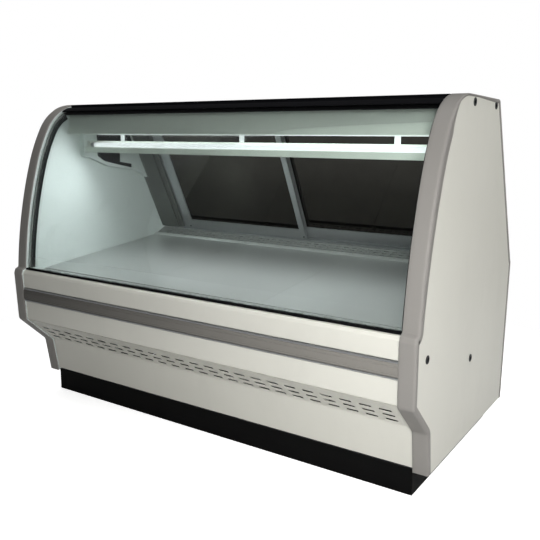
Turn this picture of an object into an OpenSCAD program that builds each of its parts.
// Refrigerated service deli case, six foot class, curved lift-up front glass.
// Millimetres, Z up, front towards -Y, floor at Z = 0, origin in the middle of the floor.
// "left" and "right" are as seen by a customer in front of the case (+X is right).

/* [Case] */
// Overall length over both end panels
case_length = 1905; // [1750:1:2200]
// Thickness of one end panel with its inner liner and edge moulding
end_t = 57; // [54:0.5:62]
// Thickness of the curved front glass
glass_t = 6; // [5:0.5:6]
// How far the front glass sits behind the edge mouldings
glass_inset = 9; // [8:0.5:9.5]

/* [Front] */
// Length of one air slot in the sloping front panel
slot_len = 46; // [20:1:52]
// Height of one air slot in the sloping front panel
slot_h = 17; // [4:0.5:20]
// Spacing of the air slots along the case
slot_pitch = 72.5; // [60:0.5:90]

/* [Display] */
// Slope of the display deck in degrees
deck_slope = 6; // [4:0.5:7]
// Diameter of the lamp tube
lamp_d = 26; // [16:1:28]
// Width of the meeting stile of a sliding door
meet_stile = 28; // [24:1:34]

/* [Machine] */
// Number of fins drawn in the evaporator
evap_fins = 30; // [10:1:40]
// Number of fins drawn in the condenser
cond_fins = 22; // [8:1:30]

/* [Hidden] */
$fn = 64;
LEFT = 1;  // mirror flags: pieces are drawn on the right
RIGHT = 0;
outer_x = case_length/2;
inner_x = outer_x - end_t;
case_h = 1334;
sheet_t = 2;

// ---- path functions, points are [y, z] ----
function unit(v) = v/norm(v);
// normal to the right of travel from a to b
function normal(a, b) = let(d=unit(b-a)) [d[1],-d[0]];
// open path moved to its right by depth, with mitred corners
function inset(path, depth) = let(m=len(path)-1) [for (i=[0:m])
  let(before = i>0 ? normal(path[i-1],path[i]) : normal(path[0],path[1]),
      after = i<m ? normal(path[i],path[i+1]) : normal(path[m-1],path[m]))
  path[i] + (before+after)*depth/(1+before*after)];
function reversed(path) = [for (i=[len(path)-1:-1:0]) path[i]];
function last3(path) = [for (i=[len(path)-3:len(path)-1]) path[i]];
// move along an arc of radius r between two tangent angles from upright
function arc_move(r, a0, a1) = r*[cos(a0)-cos(a1), sin(a1)-sin(a0)];
function arc_path(start, r, a0, a1, n) =
  [for (i=[1:n]) start + arc_move(r, a0, a0+(a1-a0)*i/n)];

// ---- solid helpers ----
// section in the Y-Z plane drawn out along X
module extrude_x(x0, x1) translate([x0,0,0]) rotate([90,0,90]) linear_extrude(x1-x0) children();
// the same from end panel to end panel, less a gap at each end
module across(gap=0) extrude_x(-inner_x+gap, inner_x-gap) children();
module band(path, d0, d1) polygon(concat(inset(path,d0), reversed(inset(path,d1))));
module sheet(path, gap=0, t=sheet_t) across(gap) band(path, 0, t);
module box(x0,x1,y0,y1,z0,z1) translate([x0,y0,z0]) cube([x1-x0,y1-y0,z1-z0]);
module box_across(gap,y0,y1,z0,z1) box(-inner_x+gap,inner_x-gap,y0,y1,z0,z1);
module rod_x(x0,x1,y,z,r) translate([x0,y,z]) rotate([0,90,0]) cylinder(r=r,h=x1-x0);
module rod_y(y0,y1,x,z,r) translate([x,y0,z]) rotate([-90,0,0]) cylinder(r=r,h=y1-y0);
module rod_z(z0,z1,x,y,r) translate([x,y,z0]) cylinder(r=r,h=z1-z0);
module both_sides() for (s=[RIGHT,LEFT]) mirror([s,0,0]) children();
// round pipe through 3D points
module pipe(points, r) for (i=[0:len(points)-2]) {
  a = points[i];
  d = points[i+1]-a;
  l = norm(d);
  translate(a) rotate([0, acos(d[2]/l), atan2(d[1],d[0])]) cylinder(r=r,h=l,$fn=24);
  if (i>0) translate(a) sphere(r=r,$fn=24);
}

// ---- side profile ----
// slanted back, from its foot up to the top rear corner
back_foot = [508,706];
back_top = [193,case_h];
back_angle = atan((back_foot[0]-back_top[0])/(back_top[1]-back_foot[1]));
// p = [outwards, up the slope] in the frame of the slanted back
function on_back(p) = back_foot + [p[0]*cos(back_angle) - p[1]*sin(back_angle),
                                   p[0]*sin(back_angle) + p[1]*cos(back_angle)];
module at_back() translate([0,back_foot[0],back_foot[1]]) rotate([back_angle,0,0]) children();

// front curve: lower arc, upper arc, then the crown that ends level at the top
foot_angle = 4.5;
mid_angle = 18;
crown_angle = 30;
lower_r = 2000;
upper_r = 800;
curve_foot = [-497,612];
curve_mid = curve_foot + arc_move(lower_r,foot_angle,mid_angle);
crown_start = curve_mid + arc_move(upper_r,mid_angle,crown_angle);
crown_r = (case_h-crown_start[1])/(1-sin(crown_angle));
crown_centre = crown_start + crown_r*[cos(crown_angle),-sin(crown_angle)];
function crown_at(angle, depth) = crown_centre + (crown_r-depth)*[-cos(angle),sin(angle)];
function crown_arc(a0, a1, n, depth) = [for (i=[0:n]) crown_at(a0+(a1-a0)*i/n, depth)];
face_curve = concat([curve_foot], arc_path(curve_foot,lower_r,foot_angle,mid_angle,10),
  arc_path(curve_mid,upper_r,mid_angle,crown_angle,5));
function front_curve(end, n) = concat(face_curve, arc_path(crown_start,crown_r,crown_angle,end,n));
low_front = [[-349.9,91],[-375,247.5],[-510,374],[-520,587],[-514,604]];
outline = concat(low_front, front_curve(90,15), [back_top,back_foot,[520,690],[520,91]]);
glass_path = front_curve(66,9);

// ---- base ----
base_x = inner_x - 4.5;
bar_w = 40;
tray_top = 101;
module base_frame() color("dimgray") {
  for (y=[-337.5,438]) box(-base_x,base_x,y,y+bar_w,48,98);
  for (x=[-base_x,-380,340,base_x-bar_w]) box(x,x+bar_w,-317.5,458,48,98);
  // feet
  for (x=[-base_x,-20,base_x-bar_w], y=[-337.5,438]) box(x,x+bar_w,y,y+bar_w,0,60);
  // machine tray
  box(-380,380,-312,448,98,tray_top);
  // posts under the tub
  for (x=[-inner_x,-430,400,inner_x-30], y=[-320,440]) box(x,x+30,y,y+30,97.5,tub_base);
}
module kick_plate() color("black") difference() {
  box_across(2,-340,480,0,97.5);
  box_across(4,-338,481,-1,99);
}

// ---- insulated tub ----
tub_front = -492;
tub_rear = 472;
tub_base = 392;
tub_t = 45;
skin_t = 1.5;
foam_in = tub_t - skin_t;
floor_z = tub_base + tub_t;
drain_x = 500;
drain_y = -250;
// U section between two depths inside the outer faces, with front and rear top heights
module tub_section(d0, d1, front_z, rear_z) polygon([
  [tub_front+d0,front_z],[tub_front+d0,tub_base+d0],[tub_rear-d0,tub_base+d0],[tub_rear-d0,rear_z],
  [tub_rear-d1,rear_z],[tub_rear-d1,tub_base+d1],[tub_front+d1,tub_base+d1],[tub_front+d1,front_z]]);
// drain and refrigerant line holes in the floor
module tub_holes() {
  rod_z(380,470,drain_x,drain_y,16);
  for (p=[[-760,300],[-790,250]]) rod_z(380,470,p[0],p[1],7);
}
module tub_layer(d0, d1) difference() {
  across() tub_section(d0,d1,584.5,638.5);
  tub_holes();
}
module tub_shell() color("silver") tub_layer(0,skin_t);
module tub_foam() color("khaki") tub_layer(skin_t,foam_in);
module tub_liner() color("gainsboro") difference() {
  union() {
    across() tub_section(foam_in,tub_t,585,639);
    // rims over the front and rear walls
    box_across(0,tub_front,tub_front+tub_t,584.5,586);
    box_across(0,tub_rear-tub_t,tub_rear,638.5,640);
  }
  tub_holes();
}
module drain_pipe() color("white") difference() {
  union() {
    rod_z(140,181,drain_x,drain_y,14);
    rod_z(180,439,drain_x,drain_y,16);
    rod_z(floor_z,439,drain_x,drain_y,26);
  }
  rod_z(139,440,drain_x,drain_y,11);
}

// ---- ends ----
liner_t = 3;
face_t = 2.5;  // outer face of the edge moulding
edge_t = 4;    // moulding around the edge of the panel
bushing_r = 11;
bore_r = 6.5;
join_holes = [[-101,1310],[146,1310],[-416,514],[36,398]];  // [y, z]
module end_core(s) mirror([s,0,0]) difference() {
  extrude_x(inner_x+liner_t,outer_x-face_t) polygon(inset(outline,edge_t));
  for (p=join_holes) rod_x(inner_x,outer_x,p[0],p[1],bushing_r);
}
module end_skin(s) mirror([s,0,0]) difference() {
  extrude_x(inner_x,inner_x+liner_t) polygon(inset(outline,edge_t));
  for (p=join_holes) rod_x(inner_x-1,outer_x,p[0],p[1],bore_r);
}
// inner edge of the moulding's outer face: 22 wide below and behind,
// 30 to 42 up the curve, 8 along the top flat
face_i = len(low_front);
crown_i = face_i + len(face_curve);
top_i = len(outline) - 4;
outline_in = inset(outline,1);
function lip_w(i) = i<face_i || i>top_i ? 22
  : i<crown_i ? 30+0.8*(i-face_i) : max(8,42-4.25*(i-crown_i+1));
function lip_at(i) = outline[i] + (outline_in[i]-outline[i])*lip_w(i);
lip = concat([for (i=[0:top_i-1]) lip_at(i)], [[172.4,case_h-8]],
  [for (i=[top_i+1:top_i+3]) lip_at(i)]);
module edge_moulding(s) mirror([s,0,0]) {
  extrude_x(inner_x,outer_x-face_t) band(outline,0,edge_t);
  extrude_x(outer_x-face_t,outer_x) polygon(concat(outline, reversed(lip)));
}
module left_end_panel() color("ivory") end_core(LEFT);
module right_end_panel() color("ivory") end_core(RIGHT);
module left_end_liner() color("white") end_skin(LEFT);
module right_end_liner() color("white") end_skin(RIGHT);
module left_edge_moulding() color("gray") edge_moulding(LEFT);
module right_edge_moulding() color("gray") edge_moulding(RIGHT);
module joining_bushings() color("black") both_sides() for (p=join_holes) difference() {
  union() {
    rod_x(inner_x+liner_t,outer_x-1,p[0],p[1],bushing_r);
    rod_x(outer_x-face_t,outer_x-0.7,p[0],p[1],14);
  }
  rod_x(inner_x,outer_x+1,p[0],p[1],bore_r);
}

// ---- front panels ----
module front_upper_panel() color("ivory") sheet([[tub_front,523],[-508,523],[-511,588],
  [-505,600],[-488,603],[-460,603],[-460,586]]);
module front_mid_panel() color("ivory")
  sheet([[tub_front,376],[-501,376],[-505,461],[tub_front,461]]);
module bumper_channel() color("silver") across() difference() {
  polygon([[tub_front,463],[-511,463],[-513,465],[-513,520],[-511,522],[tub_front,522]]);
  polygon([[-514,469],[-506,469],[-506,516],[-514,516]]);
  polygon([[-503,472],[-493.5,472],[-493.5,513],[-503,513]]);
}
module bumper_strip() color("gray") across()
  polygon([[-506,469],[-512,469],[-515,474],[-515,511],[-512,516],[-506,516]]);

access_path = [[-330,104],[-343,104],[-366.6,252],[-499,374.5],[-484,374.5]];
access_tilt = -42.8;
module front_access_panel() color("ivory") difference() {
  sheet(access_path,2.5);
  half_n = floor((inner_x-60)/slot_pitch+0.5);
  down = unit(access_path[2]-access_path[3]);
  for (row=[0:2], i=[-half_n:half_n-1]) {
    p = access_path[3] + (61+row*40)*down;
    translate([(i+0.5)*slot_pitch,p[0],p[1]]) rotate([access_tilt,0,0])
      cube([slot_len,slot_h,16],center=true);
  }
}
module return_air_grille() color("silver") difference() {
  union() {
    box_across(0,-458,-398,592,594);
    box_across(0,-458,-456,586,593);
  }
  for (y=[-440,-418], i=[-14:14]) box(i*60-20,i*60+20,y-4,y+4,590,596);
}

// ---- front glass ----
glass_gap = 2.5;
pivot = crown_at(78,12);
pivot_r = 9;
glass_back = glass_inset + glass_t;
module glass_seals() color("black") {
  box_across(0,-495,-478,603,610.4);
  both_sides() extrude_x(inner_x-2.4,inner_x) difference() {
    band(front_curve(70,10),16.5,62);
    polygon([[-231.2,1194],[-207.8,1302],[-100,1302],[-100,1194]]);
  }
}
module front_glass() color("lightcyan",0.4) across(glass_gap)
  band(glass_path,glass_inset,glass_back);
module glass_top_channel() color("black") across(glass_gap) union() {
  // channel over the top edge of the glass
  difference() {
    polygon(concat(crown_arc(60,71,6,5), reversed(crown_arc(60,71,6,19))));
    polygon(concat(last3(inset(glass_path,glass_inset)),
      reversed(last3(inset(glass_path,glass_back)))));
  }
  // web to the hinge bead
  polygon(concat(crown_arc(70.5,78,4,9.5), reversed(crown_arc(70.5,78,4,14.5))));
  translate(pivot) circle(r=pivot_r);
}
module glass_hinge_rail() color("black") across() difference() {
  union() {
    translate(pivot) circle(r=14);
    polygon([pivot+[0,-13.9],[-110,1300],[-110,case_h-2],pivot+[0,13.9]]);
    polygon([[-178,1300],[-110,1300],[-110,1310],[-178,1310]]);
  }
  translate(pivot) circle(r=pivot_r+0.08);
  // front mouth
  polygon([pivot,pivot+60*[-cos(-36),sin(-36)],pivot+[-70,0],pivot+60*[-cos(56),sin(56)]]);
}

// ---- top, canopy and light ----
arm_t = 26;
lamp_y = -122;
lamp_z = 1150;
hanger_x = inner_x*0.76;
module top_panel() color("ivory")
  sheet([[-109,1320],[-109,case_h-2],[190.5,case_h-2],on_back([-3,640])]);
module canopy_fascia() color("darkseagreen")
  sheet([[-212,1199],[-230,1199],[-207,1300],[-150,1300]],t=1.5);
module canopy_arm(s) mirror([s,0,0]) difference() {
  extrude_x(inner_x-arm_t,inner_x) polygon([[-156,1298.5],[-156,1098],[-140,1092],[-120,1092],
    [-7,1048],[190,1022],[260.5,985],[103.2,1298.5]]);
  // hollow side, open towards the inside of the case
  extrude_x(inner_x-arm_t-1,inner_x-8) polygon([[-77,1288],[-77,1121],[-74.5,1097.5],[-34,1073],
    [68,1051.5],[150,1037],[149,1056],[71,1067.5],[73,1137],[174,1137],[98,1288]]);
}
module left_canopy_arm() color("white") canopy_arm(LEFT);
module right_canopy_arm() color("white") canopy_arm(RIGHT);
module light_channel() color("white") across(arm_t) polygon([[-150,1117],[-92,1117],
  [-92,1170],[-94,1170],[-94,1119],[-148,1119],[-148,1142],[-150,1142]]);
module lamp_tube() color("white") {
  rod_x(-inner_x+46,inner_x-46,lamp_y,lamp_z,lamp_d/2);
  both_sides() for (z=[-6,6]) rod_x(inner_x-46.5,inner_x-38,lamp_y,lamp_z+z,1.5);
}
module lamp_holders() color("white") both_sides() difference() {
  box(inner_x-45.5,inner_x-arm_t,-136,-108,1119,1168);
  for (z=[-6,6]) rod_x(inner_x-46,inner_x-36,lamp_y,lamp_z+z,1.8);
}
module light_hangers() color("white") for (x=[-hanger_x,0,hanger_x]) {
  box(x-12,x+12,-92,-90,1119,1300);
  box(x-12,x+12,-140,-90,1298,1300);
}

// ---- slanted back with the sliding doors ----
// depths are outwards in the frame of the slanted back
grooves = [-79,-54];
groove_w = 18;
door_t = 15;
left_door_y = grooves[0] + (groove_w-door_t)/2;
right_door_y = grooves[1] + (groove_w-door_t)/2;
function groove(y, z0, z1) = [[y,z0],[y+groove_w,z0],[y+groove_w,z1],[y,z1]];
module door_header() color("silver") at_back() across() difference() {
  polygon([[-88,646],[-88,690],[-5.4,690],[-5.4,672],[-30,672],[-30,646]]);
  for (y=grooves) polygon(groove(y,640,668));
}
module door_bottom_track() color("silver") across() difference() {
  polygon(concat([[427,640],[472,640]],
    [for (p=[[-30,10],[-30,46],[-88,46],[-88,10]]) on_back(p)]));
  for (y=grooves) polygon([for (p=groove(y,34,50)) on_back(p)]);
}
jamb_x = 778;
module jamb(s) mirror([s,0,0]) at_back() translate([0,0,56]) linear_extrude(590)
  polygon([[jamb_x,-95],[inner_x,-95],[inner_x,-30],[inner_x-3,-30],[inner_x-3,-92],
    [jamb_x+2,-92],[jamb_x+2,-82],[jamb_x-33,-82],[jamb_x-33,-84],[jamb_x,-84]]);
module left_jamb() color("dimgray") jamb(LEFT);
module right_jamb() color("dimgray") jamb(RIGHT);
// doors are drawn on the left
door_x0 = -764;
door_x1 = meet_stile/2;
screw_xs = [door_x0+60,door_x1-10];
screw_zs = [60,645];
module door_frame(y) difference() {
  translate([door_x0,y,34.05]) cube([door_x1-door_x0,door_t,631.95]);
  translate([door_x0+80,y-1,100]) cube([door_x1-meet_stile-door_x0-80,door_t+2,526]);
  door_mirror(y);
  // finger pull
  translate([door_x0+26,y+9,280]) cube([24,7,120]);
  for (x=screw_xs, z=screw_zs) rod_y(y-1,y+8,x,z,2);
}
module door_mirror(y) translate([door_x0+72,y+4.5,92])
  cube([door_x1-meet_stile-door_x0-64,5,542]);
module door_screws(y) for (x=screw_xs, z=screw_zs) {
  rod_y(y-1.5,y,x,z,4);
  rod_y(y-0.5,y+6.5,x,z,2);
}
module left_door_frame() color("silver") at_back() door_frame(left_door_y);
module left_door_mirror() color("gray") at_back() door_mirror(left_door_y);
module left_door_screws() color("black") at_back() door_screws(left_door_y);
module right_door_frame() color("silver") mirror([1,0,0]) at_back() door_frame(right_door_y);
module right_door_mirror() color("gray") mirror([1,0,0]) at_back() door_mirror(right_door_y);
module right_door_screws() color("black") mirror([1,0,0]) at_back() door_screws(right_door_y);

// ---- display deck ----
deck_front = -388;
deck_rear = 346;
function deck_z(y) = 590 + (y+440)*tan(deck_slope);
grille_foot = [deck_rear,deck_z(deck_rear)+6];
grille_top = [405,706];
module discharge_grille() color("silver") difference() {
  sheet([[deck_rear,600],grille_foot,grille_top],1);
  rise = grille_top-grille_foot;
  for (row=[0:2], i=[-21:21]) {
    p = grille_foot + (14+row*17)*unit(rise);
    translate([i*40+(row-1)*5,p[0],p[1]]) rotate([atan2(rise[1],rise[0]),0,0])
      cube([26,6,14],center=true);
  }
}
module deck_support_frame() color("silver") {
  for (x=[-inner_x+3,-312,282,inner_x-33]) {
    extrude_x(x,x+30) polygon([[deck_front,deck_z(deck_front)-28],[deck_front,deck_z(deck_front)],
      [deck_rear,deck_z(deck_rear)],[deck_rear,deck_z(deck_rear)-28]]);
    for (y=[-386,326]) box(x+5,x+25,y,y+20,floor_z,deck_z(y)-20);
  }
  for (y=[deck_front,304]) box_across(3,y,y+20,deck_z(y)-28,deck_z(y)-2);
}
pan_w = (2*inner_x-4)/3;
module deck_pan(x0, x1) color("silver") extrude_x(x0,x1) band([[-394,deck_z(-394)-14],
  [-394,deck_z(-394)+2.02],[332,deck_z(332)+2.02],[334,deck_z(334)+14]],0,sheet_t);
module deck_pan_left() deck_pan(-inner_x+1,-inner_x+pan_w);
module deck_pan_center() deck_pan(-inner_x+1+pan_w,inner_x-1-pan_w);
module deck_pan_right() deck_pan(inner_x-pan_w,inner_x-1);

// ---- evaporator and fans ----
evap_fan_x = 350;
evap_fan_z = 515;
plenum_y = 40;
cond_fan = [190,-170,220];
module evaporator_coil() color("lightgray") {
  both_sides() box(713,715,90,290,floor_z,572);
  for (i=[0:evap_fins-1]) let(x=-690+1380*i/(evap_fins-1)) box(x-0.8,x+0.8,96,284,452,568);
  for (y=[130,190,250], z=[480,535]) rod_x(-714,714,y,z,6);
}
module fan_plenum() color("silver") difference() {
  box_across(1,plenum_y,plenum_y+2,floor_z,606);
  for (x=[-evap_fan_x,evap_fan_x]) rod_y(30,50,x,evap_fan_z,66);
}
// motor and its bracket, fan side towards +Y
module motor() difference() {
  union() {
    rod_y(-60,-16,0,0,32);
    box(-112,112,-20,-17,-9,9);
    both_sides() box(100,112,-20,0,-9,9);
  }
  rod_y(-40,0,0,0,4.06);
}
// shaft, hub and pitched blades
module fan(r, blades) union() {
  rod_y(-38,14,0,0,4);
  rod_y(-6,14,0,0,16);
  for (i=[0:blades-1]) rotate([0,i*360/blades,0]) intersection() {
    translate([0,3,r/2+5]) rotate([0,0,28]) cube([r*0.75,2,r-6],center=true);
    rod_y(-7,14,0,0,r);
    box(-r,r,-7,14,0,r);
  }
}
module at_evap_fan(x) translate([x,plenum_y,evap_fan_z]) children();
module at_cond_fan() translate(cond_fan) rotate([0,0,180]) children();
module fan_motors() color("dimgray") {
  for (x=[-evap_fan_x,evap_fan_x]) at_evap_fan(x) motor();
  at_cond_fan() motor();
}
module evaporator_fan_left() color("black") at_evap_fan(-evap_fan_x) fan(62,4);
module evaporator_fan_right() color("black") at_evap_fan(evap_fan_x) fan(62,4);
module condenser_fan() color("black") at_cond_fan() fan(95,5);

// ---- condensing unit ----
module compressor() color("black") translate([-190,130,0]) {
  rotate_extrude()
    polygon([[0,112],[60,112],[80,128],[82,140],[82,250],[76,276],[52,294],[0,300]]);
  box(-95,95,-70,70,tray_top,107);
  for (x=[-80,80], y=[-55,55]) rod_z(tray_top,115,x,y,12);
  rod_z(104,116,0,0,50);
  for (x=[-25,25]) rod_z(285,320,x,0,6);
}
module condenser_coil() color("lightgray") {
  for (x=[60,318]) box(x,x+2,-250,-200,tray_top,335);
  for (i=[0:cond_fins-1]) let(x=72+236*i/(cond_fins-1)) box(x-0.8,x+0.8,-248,-202,108,332);
  for (z=[130:45:310]) rod_x(61,319,-225,z,6);
}
module condenser_shroud() color("silver") difference() {
  box(60,320,-200,-170,tray_top,335);
  box(63,317,-201,-172,104,332);
  rod_y(-180,-160,cond_fan[0],cond_fan[2],100);
}
module refrigerant_lines() color("peru") {
  // compressor to condenser
  pipe([[-165,130,320],[-165,130,350],[-165,-226,350],[40,-226,350],[40,-226,310],
    [60,-226,310]],5);
  // condenser to evaporator
  pipe([[60,-224,130],[20,-224,130],[20,300,130],[20,300,370],[-760,300,370],[-760,300,500],
    [-760,170,500],[-715,170,500]],5);
  // compressor to evaporator
  pipe([[-215,130,320],[-215,130,350],[-215,250,350],[-790,250,350],[-790,250,545],
    [-790,220,545],[-715,220,545]],5);
}

// ---- rear ----
knob_x = -640;
knob_z = 510;
module rear_panel() color("ivory") difference() {
  sheet([on_back([-29.9,20]),on_back([-4,20]),on_back([-4,0]),[516,688],[516,102]]);
  box(-400,400,500,520,135,365);
  box(-690,-510,500,520,460,560);
}
module rear_access_panel() color("ivory") difference() {
  union() {
    box(-420,420,516,518,118,382);
    for (z=[136,362]) box(-380,380,514.2,516,z,z+2);
  }
  for (x=[-300:60:300], z=[170:24:330]) box(x-20,x+20,512,520,z-4,z+4);
}
module control_box() color("gainsboro") difference() {
  box(-690,-510,tub_rear,514,460,560);
  box(-687,-513,500,515,463,557);
  rod_y(484,501,knob_x,knob_z,3.06);
  for (x=[-580,-545]) rod_y(494,501,x,knob_z,8);
}
module thermostat_knob() color("black") difference() {
  union() {
    rod_y(486,503,knob_x,knob_z,3);
    rod_y(500.4,514,knob_x,knob_z,18);
  }
  // pointer groove
  box(knob_x-1.5,knob_x+1.5,512.5,515,512,530);
}

base_frame();
kick_plate();
tub_shell();
tub_foam();
tub_liner();
left_end_panel();
right_end_panel();
left_end_liner();
right_end_liner();
left_edge_moulding();
right_edge_moulding();
joining_bushings();
front_upper_panel();
front_mid_panel();
bumper_channel();
bumper_strip();
front_access_panel();
return_air_grille();
glass_seals();
glass_hinge_rail();
glass_top_channel();
front_glass();
top_panel();
canopy_fascia();
left_canopy_arm();
right_canopy_arm();
light_channel();
lamp_tube();
lamp_holders();
light_hangers();
door_header();
door_bottom_track();
left_jamb();
right_jamb();
left_door_frame();
right_door_frame();
left_door_mirror();
right_door_mirror();
left_door_screws();
right_door_screws();
discharge_grille();
deck_support_frame();
deck_pan_left();
deck_pan_center();
deck_pan_right();
evaporator_coil();
fan_plenum();
fan_motors();
evaporator_fan_left();
evaporator_fan_right();
compressor();
condenser_coil();
condenser_shroud();
condenser_fan();
refrigerant_lines();
rear_panel();
rear_access_panel();
control_box();
thermostat_knob();
drain_pipe();
